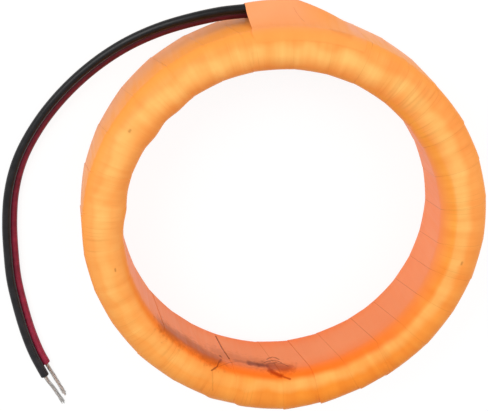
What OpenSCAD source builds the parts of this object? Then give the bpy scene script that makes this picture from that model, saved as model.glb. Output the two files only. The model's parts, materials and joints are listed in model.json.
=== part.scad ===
// Ring-type current transformer: a tape-wrapped toroid with a round window and two leads.
// Millimetres. The ring lies on its back face, +Z runs along the window's axis,
// and the origin is at the middle of the window.

/* [Core] */
// Inner diameter of the strip-wound steel core
core_inner_d = 105; // [95:1:110]
// Thickness of the strip wound onto it, from the inside to the outside
core_build = 7.5; // [6:0.5:15]
// Height of the core, which is the width of its strip
core_h = 26; // [24:1:36]
// Radius ground on the core's edges
core_edge_r = 2.5; // [1.5:0.1:2.8]

/* [Winding] */
// Thickness of the insulating wrap over the core
core_wrap_t = 0.4; // [0.2:0.1:0.8]
// Width and thickness of the flat enamelled wire
wire_t = 1.2; // [0.8:0.1:1.4]
// Turns of the secondary winding
turns = 80; // [60:1:120]
// Gap between one layer of the ring and the next
layer_gap = 0.05; // [0.02:0.01:0.1]

/* [Tape] */
// Thickness of the tape layers over the winding
tape_build = 0.75; // [0.65:0.05:1.2]
// How much rounder the tape's corners are than an even layer over the winding
corner_ease = 0.4; // [0:0.1:0.6]
// Turns of tape round the ring
tape_turns = 30; // [24:1:36]
// Thickness of the step at the edge of each tape turn
lap_t = 0.25; // [0.1:0.05:0.3]
// Thickness of the finishing strip over the leads
cover_t = 0.3; // [0.2:0.05:0.5]
// Length of the ring over which the strip sinks back onto it
cover_taper = 20; // [14:0.5:24]

/* [Leads] */
// Diameter of each lead over its insulation
lead_d = 2.8; // [2.2:0.1:3]
// Diameter of the twisted bare strands
strand_d = 1.3; // [0.8:0.1:1.6]
// Angle round the ring at which the leads come out
exit_az = 99.5; // [97:0.5:103]
// Height of the lead pair above the surface where it comes out
exit_height = 11.5; // [9:0.5:15]
// How much shorter the red lead is cut
red_cut_back = 3.2; // [0:0.1:6]

/* [Splices] */
// Diameter of each soldered joint
joint_d = 1.6; // [1.4:0.1:1.8]
// Length of each soldered joint
joint_len = 6; // [4:0.5:6]
// Wall of the sleeve shrunk over each joint
sleeve_wall = 0.35; // [0.2:0.05:0.4]
// Diameter of the winding's bared tails
tail_d = 1; // [0.6:0.1:1.2]
// Length of a tail along the ring before its joint
tail_run = 1.2; // [0.9:0.1:1.5]
// Angle round the ring at which the winding starts
start_az = 90; // [89:0.5:91]

/* [Hidden] */
$fn = 48;
// Facets round the whole ring, round an edge of its section and round its wire
ring_fn = 240;
edge_fn = 24;
wire_fn = 16;

// Radii of the core
core_r_in = core_inner_d / 2;
core_r_out = core_r_in + core_build;

// Layers of the ring, as distances grown from the core all round
wrap_out = layer_gap + core_wrap_t;
wire_in = wrap_out + layer_gap;
wire_out = wire_in + wire_t;
tape_in = wire_out + layer_gap;
tape_out = tape_in + tape_build;

// Outer sizes of the wrapped ring
window_r = core_r_in - tape_out;
ring_r = core_r_out + tape_out;
ring_h = core_h + 2 * tape_out;
floor_z = -ring_h / 2;
tape_corner_r = core_edge_r + tape_out + corner_ease;

// Outline of the wrapped section: four corner arcs, each point [radius, height]
corner_steps = 4;
corner_r_mid = [ring_r - tape_corner_r, window_r + tape_corner_r];
corner_z_mid = ring_h / 2 - tape_corner_r;
// Depth by which the skin passes the window's wall and the resting face before they are cut
trim = 0.3;
on_wall = 0.01;
// Shares of a tape turn at which the skin is drawn: its own edge, and just short of the next turn's
turn_stations = [0, 0.985];

// Middle of the lead pair, and the offset of each lead from it, outwards and upwards
pair_gap = 0.03;
pair_offset = (lead_d + pair_gap) / 2 / sqrt(2);
pair_rest_gap = 0.3;
pair_r = ring_r + pair_rest_gap + lead_d / 2 + pair_offset;
black_r = pair_r + pair_offset;
black_z = floor_z + exit_height + pair_offset;
red_r = pair_r - pair_offset;
red_z = floor_z + exit_height - pair_offset;

// Route of the lead pair beyond the ring: [x, y, height above the surface]
free_route = [
  [-18.5, 63.5, 11.2], [-28, 61.5, 10.6], [-37.5, 58.5, 9.5], [-47, 54, 8], [-56, 48, 6.5],
  [-64.5, 40.5, 5], [-72, 32, 3.9], [-78, 23, 3.1], [-82, 14.5, 2.7], [-84.5, 5, 2.4],
  [-85.5, -5, 2.4], [-85.5, -15, 2.4], [-85, -24, 2.4], [-83.5, -33, 2.4], [-81.5, -42, 2.4],
  [-79, -50, 2.4], [-75.5, -58, 2.4]
];
// Bare strands beyond each lead's cut end, in the same form
black_strand_route = [[-73.8, -63.5, 2.2], [-70.6, -70, 0.75]];
red_strand_route = [[-73.6, -59.5, 1], [-70, -67, 0.7]];
// Straight run of the strands out of the cut end, their gap from it, and the facets of every cord
strand_lead_in = 1.5;
cut_gap = 0.06;
cord_sides = 8;
cord_steps = 2;

// Winding tails and the joints that follow them round the ring, with the gaps that keep them apart
tail_gap = 0.1;
knuckle_over = 0.2;
face_gap = 0.03;
black_tail_az = start_az - 360 / turns;
red_tail_az = start_az;
sleeve_gap = 0.05;
sleeve_overlap = 0.4;

// Finishing strip: its fit over what it covers, the angles at which it ends on the upper and lower
// corners, and how nearly flat it lies at the end of its taper
cover_gap = 0.05;
cover_high_angle = 65;
cover_low_angle = -50;
cover_flat = 0.06;
cover_arc_steps = 4;
cover_stations = 6;

// Angle round the ring that an arc of the given length takes
function arc_angle(length, radius) = length / radius * 180 / PI;

// Point in the plane of the ring's axis, turned to its angle round the ring
function turned(r, z, az) = [r * cos(az), r * sin(az), z];

// Smooth curve through points, with the given steps between each pair
function curve_point(a, b, c, d, t) =
  0.5 * (2 * b + (c - a) * t + (2 * a - 5 * b + 4 * c - d) * pow(t, 2) + (3 * b - a - 3 * c + d) * pow(t, 3));
function smooth_route(p, steps) = let (last = len(p) - 1) concat(
  [for (i = [0 : last - 1], k = [0 : steps - 1])
    curve_point(p[max(i - 1, 0)], p[i], p[i + 1], p[min(i + 2, last)], k / steps)],
  [p[last]]
);

// Section of the core grown by a distance on every side
module grown_section(grow) {
  edge_r = core_edge_r + grow;
  r_in = core_r_in - grow;
  r_out = core_r_out + grow;
  h = core_h + 2 * grow;
  translate([r_in + edge_r, -h / 2]) square([r_out - r_in - 2 * edge_r, h]);
  translate([r_in, -h / 2 + edge_r]) square([r_out - r_in, h - 2 * edge_r]);
  for (r = [r_in + edge_r, r_out - edge_r], side = [-1, 1])
    translate([r, side * (h / 2 - edge_r)]) circle(edge_r, $fn = edge_fn);
}

module grown_ring(grow) {
  rotate_extrude($fn = ring_fn) grown_section(grow);
}

module core() {
  color("dimgray") grown_ring(0);
}

module core_wrap() {
  color("wheat") difference() {
    grown_ring(wrap_out);
    grown_ring(layer_gap);
  }
}

// One closed turn of flat wire about the core's section
module wire_turn() {
  rotate([90, 0, 0]) linear_extrude(wire_t, center = true) difference() {
    grown_section(wire_out);
    grown_section(wire_in);
  }
}

// Tail of the winding: out through the tape, then round a knuckle and along the ring into its joint
module winding_tail(az, joint_r, z) {
  leg_r = core_r_out + (wire_in + wire_out) / 2;
  rotate([0, 0, az]) translate([0, 0, z]) {
    translate([leg_r, 0, 0]) rotate([0, 90, 0]) cylinder(d = tail_d, h = joint_r - leg_r);
    translate([joint_r, 0, 0]) sphere(d = tail_d + knuckle_over);
    translate([joint_r, 0, 0]) rotate([-90, 0, 0]) cylinder(d = tail_d, h = tail_run);
  }
}

// First or last turn of the winding, with its tail
module end_turn(az, joint_r, z) {
  union() {
    rotate([0, 0, az]) wire_turn();
    winding_tail(az, joint_r, z);
  }
}

module secondary_winding() {
  $fn = wire_fn;
  color("peru") {
    end_turn(red_tail_az, red_r, red_z);
    for (i = [1 : turns - 2]) rotate([0, 0, start_az + i * 360 / turns]) wire_turn();
    end_turn(black_tail_az, black_r, black_z);
  }
}

// Angle at which a joint starts, just beyond its winding tail, and at which it ends
function joint_start(tail_az, r) = tail_az + arc_angle(tail_run + face_gap, r);
function joint_end(tail_az, r) = joint_start(tail_az, r) + arc_angle(joint_len, r);

module joint_arc(tail_az, r, z, d, early) {
  start = joint_start(tail_az, r) - arc_angle(early, r);
  rotate([0, 0, start])
    rotate_extrude(angle = joint_end(tail_az, r) - start, start = 0) translate([r, z]) circle(d = d);
}

module solder_joints() {
  color("silver") {
    joint_arc(black_tail_az, black_r, black_z, joint_d, 0);
    joint_arc(red_tail_az, red_r, red_z, joint_d, 0);
  }
}

module splice_sleeve(tail_az, r, z) {
  bore_d = joint_d + 2 * sleeve_gap;
  difference() {
    joint_arc(tail_az, r, z, bore_d + 2 * sleeve_wall, sleeve_overlap);
    joint_arc(tail_az, r, z, bore_d, sleeve_overlap);
  }
}

module splice_sleeves() {
  color("black") {
    splice_sleeve(black_tail_az, black_r, black_z);
    splice_sleeve(red_tail_az, red_r, red_z);
  }
}

// Outline of the wrapped section, up the window's wall, outwards, down and back
// Each point is [radius, height, outward normal's angle]
function section_corner(r_mid, z_mid, from) = [
  for (k = [0 : corner_steps]) let (a = from - 90 * k / corner_steps)
    [r_mid + tape_corner_r * cos(a), z_mid + tape_corner_r * sin(a), a]
];
section = concat(
  section_corner(corner_r_mid[1], corner_z_mid, 180),
  [[(window_r + ring_r) / 2, ring_h / 2, 90]],
  section_corner(corner_r_mid[0], corner_z_mid, 90),
  [[ring_r, 0, 0]],
  section_corner(corner_r_mid[0], -corner_z_mid, 0),
  section_corner(corner_r_mid[1], -corner_z_mid, -90)
);
section_points = len(section);
function section_gap(j) = let (
  a = section[j % section_points],
  b = section[(j + 1) % section_points]
) norm([b[0] - a[0], b[1] - a[1]]);
// Distance along the outline to each point, and all the way round
section_reach = [for (j = 0, s = 0; j <= section_points; s = s + section_gap(j), j = j + 1) s];
section_length = section_reach[section_points];

// The skin is cut back flat at the window's wall and at the resting face
function is_trimmed(s) = s[0] < window_r + on_wall || s[1] < floor_z + on_wall;
// Height of the skin at a share of the tape turn: full at its own edge, one step down at the next
function lap_height(s, share) = is_trimmed(s) ? trim : -lap_t * share;
function skin_point(turn, share, j) = let (
  s = section[j],
  rise = lap_height(s, share),
  az = (turn + share + section_reach[j] / section_length) * 360 / tape_turns
) turned(s[0] + rise * cos(s[2]), s[1] + rise * sin(s[2]), az);

// One end of the tape's outline meets the start of the next turn, as the tape does
module tape_skin() {
  per_turn = len(turn_stations);
  stations = tape_turns * per_turn;
  points = [
    for (turn = [0 : tape_turns - 1], share = turn_stations, j = [0 : section_points - 1])
      skin_point(turn, share, j)
  ];
  function index(i, j) = j < section_points
    ? (i % stations) * section_points + j
    : ((i + per_turn) % stations) * section_points;
  faces = [
    for (i = [0 : stations - 1], j = [0 : section_points - 1], half = [0, 1])
      half == 0
        ? [index(i, j), index(i, j + 1), index(i + 1, j + 1)]
        : [index(i, j), index(i + 1, j + 1), index(i + 1, j)]
  ];
  polyhedron(points, faces);
}

module tail_hole(az, z) {
  rotate([0, 0, az]) translate([ring_r, 0, z]) rotate([0, 90, 0])
    cylinder(d = tail_d + 2 * tail_gap, h = 2 * (tape_build + lap_t), center = true);
}

module outer_tape() {
  color("orange") difference() {
    tape_skin();
    cylinder(r = window_r, h = 2 * ring_h, center = true, $fn = ring_fn);
    translate([0, 0, floor_z - ring_h / 2]) cube([3 * ring_r, 3 * ring_r, ring_h], center = true);
    grown_ring(tape_in);
    tail_hole(black_tail_az, black_z);
    tail_hole(red_tail_az, red_z);
  }
}

// Angle of the normal of the line that runs tight over two circles, on their outer side
function tangent_over(a, r_a, b, r_b, side) =
  let (d = b - a) atan2(d[1], d[0]) + side * acos((r_a - r_b) / norm(d));
function arc_points(mid, r, from, to, steps) =
  [for (k = [0 : steps]) let (a = from + (to - from) * k / steps) mid + r * [cos(a), sin(a)]];

// Path of the strip over the ring's outer corner, the black lead and the lower corner
// Full height is 1, and the strip lies down on the ring as it nears 0
function cover_line(height, grow) = let (
  corner_r = tape_corner_r + grow,
  bump_r = lead_d / 2 + grow,
  top = [corner_r_mid[0], corner_z_mid],
  low = [corner_r_mid[0], -corner_z_mid],
  sunk_r = ring_r - lead_d / 2,
  bump = [sunk_r + (black_r - sunk_r) * height, black_z],
  upper = tangent_over(top, corner_r, bump, bump_r, 1),
  lower = tangent_over(low, corner_r, bump, bump_r, -1)
) concat(
  arc_points(top, corner_r, cover_high_angle, upper, cover_arc_steps),
  arc_points(bump, bump_r, upper, lower, cover_arc_steps),
  arc_points(low, corner_r, lower, cover_low_angle, cover_arc_steps)
);

cover_end_az = black_tail_az - arc_angle(cover_taper, ring_r);
// Stations along the strip: [angle round the ring, height of its bump]
cover_plan = concat(
  [for (k = [0 : cover_stations]) let (t = k / cover_stations)
    [cover_end_az + (black_tail_az - cover_end_az) * t, cover_flat + (1 - cover_flat) * t]],
  [for (k = [1 : cover_stations]) [black_tail_az + (exit_az - black_tail_az) * k / cover_stations, 1]]
);

module lead_cover() {
  width = len(cover_line(1, 0));
  rim = width - 1;
  sections = [
    for (p = cover_plan) concat(
      [for (q = cover_line(p[1], cover_gap)) turned(q[0], q[1], p[0])],
      [for (q = cover_line(p[1], cover_gap + cover_t)) turned(q[0], q[1], p[0])]
    )
  ];
  last = len(sections) - 1;
  function at(i, outer, k) = (i * 2 + outer) * width + k;
  function quad(a, b, c, d) = [[a, b, c], [a, c, d]];
  skin = [
    for (i = [0 : last - 1], k = [0 : rim - 1]) each concat(
      quad(at(i, 1, k), at(i, 1, k + 1), at(i + 1, 1, k + 1), at(i + 1, 1, k)),
      quad(at(i, 0, k), at(i + 1, 0, k), at(i + 1, 0, k + 1), at(i, 0, k + 1))
    )
  ];
  edges = [
    for (i = [0 : last - 1]) each concat(
      quad(at(i, 0, 0), at(i, 1, 0), at(i + 1, 1, 0), at(i + 1, 0, 0)),
      quad(at(i, 1, rim), at(i, 0, rim), at(i + 1, 0, rim), at(i + 1, 1, rim))
    )
  ];
  ends = [
    for (k = [0 : rim - 1]) each concat(
      quad(at(0, 0, k), at(0, 0, k + 1), at(0, 1, k + 1), at(0, 1, k)),
      quad(at(last, 0, k), at(last, 1, k), at(last, 1, k + 1), at(last, 0, k + 1))
    )
  ];
  color("darkorange") polyhedron([for (s = sections) each s], concat(skin, edges, ends));
}

// Direction of a route in plan at one of its points
function plan_heading(p, i) = let (
  d = p[min(i + 1, len(p) - 1)] - p[max(i - 1, 0)]
) [d[0], d[1]] / norm([d[0], d[1]]);

// Middle of the pair from a joint's end, under the cover and out to its far end
function pair_route(from_az, cut_back) = let (
  under = [for (k = [0 : 2]) turned(pair_r, exit_height, from_az + (exit_az - from_az) * k / 2)],
  last = len(free_route) - 1,
  tip = free_route[last],
  run = tip - free_route[last - 1]
) concat(under, [for (i = [0 : last - 1]) free_route[i]], [tip - run / norm(run) * cut_back]);

// Route of one lead beside the pair's middle: the black outwards and up, the red inwards and down
function lead_route(from_az, cut_back, side) = let (p = pair_route(from_az, cut_back)) [
  for (i = [0 : len(p) - 1]) let (h = plan_heading(p, i))
    p[i] + side * pair_offset * [h[1], -h[0], 1] + [0, 0, floor_z]
];
black_route = lead_route(joint_end(black_tail_az, black_r) + arc_angle(face_gap, black_r), 0, 1);
red_route = lead_route(joint_end(red_tail_az, red_r) + arc_angle(face_gap, red_r), red_cut_back, -1);

// The strands leave straight out of the lead's cut end
function strand_route(lead, points) = let (
  tip = lead[len(lead) - 1],
  run = tip - lead[len(lead) - 2],
  ahead = run / norm(run)
) concat(
  [for (reach = [cut_gap, strand_lead_in]) tip + reach * ahead],
  [for (p = points) p + [0, 0, floor_z]]
);

// Round cord along a route, with flat ends
module cord(route, d) {
  p = smooth_route(route, cord_steps);
  last = len(p) - 1;
  points = [
    for (i = [0 : last]) let (
      run = p[min(i + 1, last)] - p[max(i - 1, 0)],
      along = run / norm(run),
      across = cross(along, [0, 0, 1]) / norm(cross(along, [0, 0, 1])),
      up = cross(across, along)
    ) for (k = [0 : cord_sides - 1]) let (a = 360 * k / cord_sides)
      p[i] + d / 2 * (cos(a) * across + sin(a) * up)
  ];
  function at(i, k) = i * cord_sides + k % cord_sides;
  sides = [
    for (i = [0 : last - 1], k = [0 : cord_sides - 1])
      [at(i, k), at(i, k + 1), at(i + 1, k + 1), at(i + 1, k)]
  ];
  first_end = [for (k = [cord_sides - 1 : -1 : 0]) at(0, k)];
  last_end = [for (k = [0 : cord_sides - 1]) at(last, k)];
  polyhedron(points, concat(sides, [first_end, last_end]));
}

module black_lead() {
  color([0.16, 0.16, 0.17]) cord(black_route, lead_d);
}

module red_lead() {
  color([0.6, 0.16, 0.22]) cord(red_route, lead_d);
}

module black_lead_end() {
  color("lightgray") cord(strand_route(black_route, black_strand_route), strand_d);
}

module red_lead_end() {
  color("lightgray") cord(strand_route(red_route, red_strand_route), strand_d);
}

core();
core_wrap();
secondary_winding();
solder_joints();
splice_sleeves();
outer_tape();
lead_cover();
black_lead();
red_lead();
black_lead_end();
red_lead_end();
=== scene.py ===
"""Looks of a ring-type current transformer: lapped orange tape, a tented cover and two stranded leads."""
import json
import math

import bpy
import numpy as np
from mathutils import Matrix, Vector
from mathutils.geometry import interpolate_bezier


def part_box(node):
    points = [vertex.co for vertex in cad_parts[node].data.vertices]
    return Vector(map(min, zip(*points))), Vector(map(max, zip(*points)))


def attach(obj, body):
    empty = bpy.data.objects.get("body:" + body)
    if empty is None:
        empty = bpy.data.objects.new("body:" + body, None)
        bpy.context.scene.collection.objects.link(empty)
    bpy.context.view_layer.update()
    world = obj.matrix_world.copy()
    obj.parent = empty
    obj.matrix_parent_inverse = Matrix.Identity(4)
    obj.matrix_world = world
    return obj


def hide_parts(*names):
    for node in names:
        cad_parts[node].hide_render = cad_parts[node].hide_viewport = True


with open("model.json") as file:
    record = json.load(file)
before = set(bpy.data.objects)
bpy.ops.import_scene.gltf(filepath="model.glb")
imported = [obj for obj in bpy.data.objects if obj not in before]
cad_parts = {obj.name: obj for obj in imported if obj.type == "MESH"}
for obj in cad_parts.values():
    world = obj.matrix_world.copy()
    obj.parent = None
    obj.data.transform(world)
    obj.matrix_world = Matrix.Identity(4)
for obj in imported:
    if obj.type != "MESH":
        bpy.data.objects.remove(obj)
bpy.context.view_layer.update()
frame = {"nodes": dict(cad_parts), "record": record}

MM = 0.001
SEED = 11

# Ring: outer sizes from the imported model, the rest as in the part's source
ring_low, ring_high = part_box("outer_tape")
WINDOW_R = frame["record"]["mounts"][0]["dims"]["r_mm"] * MM
RING_R = ring_high.y
TOP_Z = ring_high.z
FLOOR_Z = ring_low.z
MIDDLE_R = (WINDOW_R + RING_R) / 2
HALF_W = (RING_R - WINDOW_R) / 2
CORNER_R = 5.4 * MM
TAPE_BUILD = 0.75 * MM
TAPE_INSIDE_CORNER_R = 4.25 * MM

# Tape turns: how many, and how much they lean along each stretch of the section
TURNS = 30
TURN_ANGLE = 2 * math.pi / TURNS
LEAN_WALL_IN = 1.5
LEAN_FACE = 0.3
LEAN_WALL_OUT = 1.25
# Drift of turns in degrees: at most by chance, then those chosen on the window's wall and beyond its rim
DRIFT_MOST = 1.2
DRIFT_IN = {20: -5.4, 21: -5.5, 23: -0.5, 24: -0.7, 25: 1.6, 26: 0.6, 27: 1.1, 28: -0.3, 29: -1.8}
DRIFT_OUT = {20: 3.5, 21: 0, 22: 0, 23: -0.8, 24: 0.5, 25: -5}
# Shares of a turn where it goes over from the first drift to the second, and where the next turn's begins
RIM_SHARE = (0.4, 0.54)
LAST_SHARE = 0.92
# Steps at the laps: usual size, range by chance on the two walls, chosen ones, and share on the faces
LAP_STEP = 0.11 * MM
STEP_RANGE_IN = (0.4, 1.2)
STEP_RANGE_OUT = (0.6, 1.5)
STEPS_IN = {18: 0.02 * MM, 19: 0.02 * MM, 21: 0.2 * MM}
STEPS_OUT = {18: 0.02 * MM, 19: 0.02 * MM, 20: 0.6 * MM, 22: 0.55 * MM, 23: 0.32 * MM, 24: 0.3 * MM}
FACE_STEP_SHARE = 0.25
# Rise of single turns, how much the film is drawn flat between laps, the upper face's crown, and swellings
TURN_RISE = 0.07 * MM
DRAWN_FLAT = 0.4
CROWN = 0.2 * MM
BULGE = 0.14 * MM
BULGES_OUT = 23
BULGES_UP = 31
# Pleats on the faces: height, number of wide and fine ones, share of the fine ones, and where they begin
PLEAT = 0.07 * MM
WIDE_PLEATS = 150
FINE_PLEATS = 310
FINE_SHARE = 0.35
PLEAT_SLOPE = (0.15, 0.9)
# How far the pleats wind, as a share of the ring, and how quickly: radians per metre outwards and upwards
PLEAT_WIND = 0.004
WIND_OUT = 900
WIND_UP = 500
# Tape under the cover, plain and sunk: where it begins and ends in degrees, side of the ring, and depth
PLAIN_BEGIN = (63, 67)
PLAIN_END = (98, 100)
PLAIN_SIDE = (0.2, 0.6)
PLAIN_SINK = 0.05 * MM
# Hand-wound build-up beyond the round ring: even part in mm, then swellings as size, angle and narrowness
OUTER_GROWTH = (-0.2, [(1.75, 2, 2), (0.7, 160, 4), (1.1, 270, 16)])
INNER_GROWTH = (0, [
    (1.35, 45, 2), (0.7, 288, 2), (-0.25, 216, 2), (-0.2, 150, 8),
    (0.7, 172, 300), (0.7, 143, 300), (0.5, 131, 400),
])

# Leads: sizes and places as in the part's source
LEAD_D = 2.8 * MM
PAIR_GAP = 0.03 * MM
PAIR_REST_GAP = 0.3 * MM
STRAND_BUNDLE_D = 1.3 * MM
STRAND_LEAD_IN = 1.5 * MM
EXIT_AZ = math.radians(99.5)
EXIT_HEIGHT = 11.5 * MM
PAIR_OFFSET = (LEAD_D + PAIR_GAP) / 2 / math.sqrt(2)
PAIR_R = RING_R + PAIR_REST_GAP + LEAD_D / 2 + PAIR_OFFSET
RED_CUT_BACK = 3.2 * MM
BLACK_START_AZ = math.radians(91.8)
RED_START_AZ = math.radians(96.5)
FREE_ROUTE = [
    (-18.5, 63.5, 11.2), (-28, 61.5, 10.6), (-37.5, 58.5, 9.5), (-47, 54, 8), (-56, 48, 6.5),
    (-64.5, 40.5, 5), (-72, 32, 3.9), (-78, 23, 3.1), (-82, 14.5, 2.7), (-84.5, 5, 2.4),
    (-85.5, -5, 2.4), (-85.5, -15, 2.4), (-85, -24, 2.4), (-83.5, -33, 2.4), (-81.5, -42, 2.4),
    (-79, -50, 2.4), (-75.5, -58, 2.4),
]
BLACK_STRAND_ROUTE = [(-73.8, -63.5, 2.2), (-70.6, -70, 0.75)]
RED_STRAND_ROUTE = [(-73.6, -59.5, 1), (-70, -67, 0.7)]
LEAD_STEPS = 10
LEAD_SIDES = 24
# Cut end of the insulation, drawn in round the strands: reach in mm and share of the lead's radius
CUT_END = [(-0.2, 1.0), (-0.08, 0.97), (0.0, 0.9), (0.0, 0.72), (-0.18, 0.62), (-0.7, 0.58)]
# Strands: number in each layer and its place from the middle, then the wire and its twist
STRAND_LAYERS = [(1, 0.0), (6, 0.5), (12, 1.0)]
STRAND_D = 0.26 * MM
STRAND_STEPS = 12
STRAND_SIDES = 7
TWIST_PITCH = 15 * MM
# How loose single strands are: turned in the bundle, spread at the tip, and fewer steps long than this
LOOSE_TURN = 0.15
LOOSE_SPREAD = (-0.25, 0.35)
SHORT_BY = 4

# Cover over the leads: film drawn tight over the ring's corner, the black lead and the lower corner
COVER_T = 0.2 * MM
COVER_GAP = 0.05 * MM
COVER_END_AZ = math.radians(67.2)
COVER_FULL_AZ = math.radians(85.5)
COVER_RISE_POWER = 1.15
COVER_HIGH_ANGLE = math.radians(65)
COVER_LOW_ANGLE = math.radians(-50)
COVER_STATIONS = 70
COVER_POINTS = 64
ARC_POINTS = 12
# Film drawn in between the ring's upper corner and the lead: turn at both ends, pull and points
COVER_WRAP = math.radians(19)
COVER_PULL = 0.4
DRAWN_IN_POINTS = 14
# Thinned edges of the film: least share of its thickness, and shares of its width and length
COVER_LEAST = 0.1
THIN_TOP = 0.2
THIN_END = 0.15
# Uneven mouth: size, knots and span of its waves, and how quickly they fade towards the other end
MOUTH_WAVE = math.radians(0.35)
MOUTH_KNOTS = 9
MOUTH_SPAN = 0.95
MOUTH_FADE_POWER = 6
# Distance from the ring at which the cover no longer follows its build-up
COVER_EASE = 2.5 * MM

# Camera, fitted to the ring's outlines in the photograph
IMAGE_W = 488
FOCAL_PX = 1576
SENSOR_W = 36
CAMERA_TARGET = Vector((-11.25, 2.11, -2.0)) * MM
CAMERA_TOWARDS = Vector((-0.1091, 0.3259, 0.9391))
CAMERA_UP = Vector((0.0375, 0.9454, -0.3238))
CAMERA_DISTANCE = 500 * MM

# Stage: floor as it lights the object and as it is seen, lamps as place, size and power, and the world
FLOOR_SIZE = 6
FLOOR_GAP = 0.05 * MM
FLOOR_LIT = (0.8, 0.8, 0.8)
FLOOR_SEEN = (0.16, 0.16, 0.16)
FLOOR_GLOW = 0.88
LAMPS = {
    "key": ((-0.45, 0.34, 0.52), 0.5, 3.0),
    "fill": ((0.45, 0.23, 0.45), 0.6, 1.6),
}
WORLD_STRENGTH = 0.55


# Materials

# Range that most values of a noise lie in
NOISE_SPAN = (0.3, 0.7)


class Tree:
    """A material's nodes, with short calls for the ones used here."""

    SOCKETS = {
        "colour": "Base Color",
        "rough": "Roughness",
        "metal": "Metallic",
        "level": "Specular IOR Level",
    }

    def __init__(self, name):
        self.material = bpy.data.materials.new(name)
        self.material.use_nodes = True
        self.nodes = self.material.node_tree.nodes
        self.links = self.material.node_tree.links
        self.shader = self.nodes["Principled BSDF"]

    def put(self, socket, value):
        if isinstance(value, bpy.types.NodeSocket):
            self.links.new(value, socket)
        else:
            socket.default_value = value

    def math(self, operation, a, b=0.0, clamp=False):
        node = self.nodes.new("ShaderNodeMath")
        node.operation = operation
        node.use_clamp = clamp
        self.put(node.inputs[0], a)
        self.put(node.inputs[1], b)
        return node.outputs[0]

    def plus(self, total, *others):
        for other in others:
            total = self.math("ADD", total, other)
        return total

    def times(self, product, *others):
        for other in others:
            product = self.math("MULTIPLY", product, other)
        return product

    def minus(self, a, b):
        return self.math("SUBTRACT", a, b)

    def most(self, a, b):
        return self.math("MAXIMUM", a, b)

    def least(self, a, b):
        return self.math("MINIMUM", a, b)

    def absolute(self, a):
        return self.math("ABSOLUTE", a)

    def vector(self, operation, a, b=(0, 0, 0)):
        node = self.nodes.new("ShaderNodeVectorMath")
        node.operation = operation
        self.put(node.inputs[0], a)
        self.put(node.inputs[1], b)
        return node.outputs["Value" if operation in ("DISTANCE", "DOT_PRODUCT", "LENGTH") else "Vector"]

    def scaled(self, a, factor):
        node = self.nodes.new("ShaderNodeVectorMath")
        node.operation = "SCALE"
        self.put(node.inputs[0], a)
        self.put(node.inputs["Scale"], factor)
        return node.outputs["Vector"]

    def combine(self, x=0.0, y=0.0, z=0.0):
        node = self.nodes.new("ShaderNodeCombineXYZ")
        for socket, value in zip(node.inputs, (x, y, z)):
            self.put(socket, value)
        return node.outputs[0]

    def separate(self, vector):
        node = self.nodes.new("ShaderNodeSeparateXYZ")
        self.put(node.inputs[0], vector)
        return node.outputs

    def place(self):
        return self.nodes.new("ShaderNodeTexCoord").outputs["Object"]

    def radius(self):
        x, y, _ = self.separate(self.place())
        return self.vector("LENGTH", self.combine(x, y))

    def attribute(self, name):
        node = self.nodes.new("ShaderNodeAttribute")
        node.attribute_name = name
        return node.outputs["Fac"]

    def noise(self, vector, scale, detail=2.0, roughness=0.5):
        node = self.nodes.new("ShaderNodeTexNoise")
        self.put(node.inputs["Vector"], vector)
        node.inputs["Scale"].default_value = scale
        node.inputs["Detail"].default_value = detail
        node.inputs["Roughness"].default_value = roughness
        return node.outputs["Fac"]

    def map(self, value, from_min, from_max, to_min, to_max, smooth=False):
        node = self.nodes.new("ShaderNodeMapRange")
        node.interpolation_type = "SMOOTHSTEP" if smooth else "LINEAR"
        for socket, number in zip(node.inputs, (value, from_min, from_max, to_min, to_max)):
            self.put(socket, number)
        return node.outputs["Result"]

    def rise(self, value, low, high, smooth=False):
        return self.map(value, low, high, 0.0, 1.0, smooth)

    def fall(self, value, low, high, smooth=False):
        return self.map(value, low, high, 1.0, 0.0, smooth)

    def spread(self, noise, low, high):
        return self.map(noise, *NOISE_SPAN, low, high)

    def ramp(self, value, stops):
        node = self.nodes.new("ShaderNodeValToRGB")
        self.put(node.inputs[0], value)
        elements = node.color_ramp.elements
        while len(elements) < len(stops):
            elements.new(1)
        for element, (position, colour) in zip(elements, stops):
            element.position = position
            element.color = (*colour, 1)
        return node.outputs["Color"]

    def mix(self, factor, a, b, blend="MIX"):
        """Mix of two colours, which are the node's inputs 6 and 7 and its output 2."""
        node = self.nodes.new("ShaderNodeMix")
        node.data_type = "RGBA"
        node.blend_type = blend
        self.put(node.inputs["Factor"], factor)
        for socket, value in zip((node.inputs[6], node.inputs[7]), (a, b)):
            self.put(socket, (*value, 1) if isinstance(value, tuple) else value)
        return node.outputs[2]

    def shaded(self, colour, bright):
        return self.mix(1.0, colour, self.combine(bright, bright, bright), "MULTIPLY")

    def bump(self, height, strength, distance):
        node = self.nodes.new("ShaderNodeBump")
        self.put(node.inputs["Height"], height)
        node.inputs["Strength"].default_value = strength
        node.inputs["Distance"].default_value = distance
        self.links.new(node.outputs[0], self.shader.inputs["Normal"])

    def finish(self, **values):
        for name, value in values.items():
            self.put(self.shader.inputs[self.SOCKETS[name]], value)
        return self.material


# Film's colours by where it lies; LOW is for the -Y side of the ring
# Painted sheen: the walls' salmon is the orange film with a sheen painted in
WALL_IN = (0.98, 0.31, 0.11)
# Painted shade: the window's wall is darker on the -Y side
WALL_IN_LOW = (0.87, 0.295, 0.115)
RIM_IN = (0.97, 0.36, 0.055)
# Painted shade and dirt: the window's rim is darker and deeper on the -Y side
RIM_IN_LOW = (0.93, 0.18, 0.012)
# Painted highlight: the pale band along the crown
FACE_PALE = (0.97, 0.49, 0.132)
FACE_WARM = (0.97, 0.34, 0.072)
FACE_WARM_LOW = (0.96, 0.275, 0.026)
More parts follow.
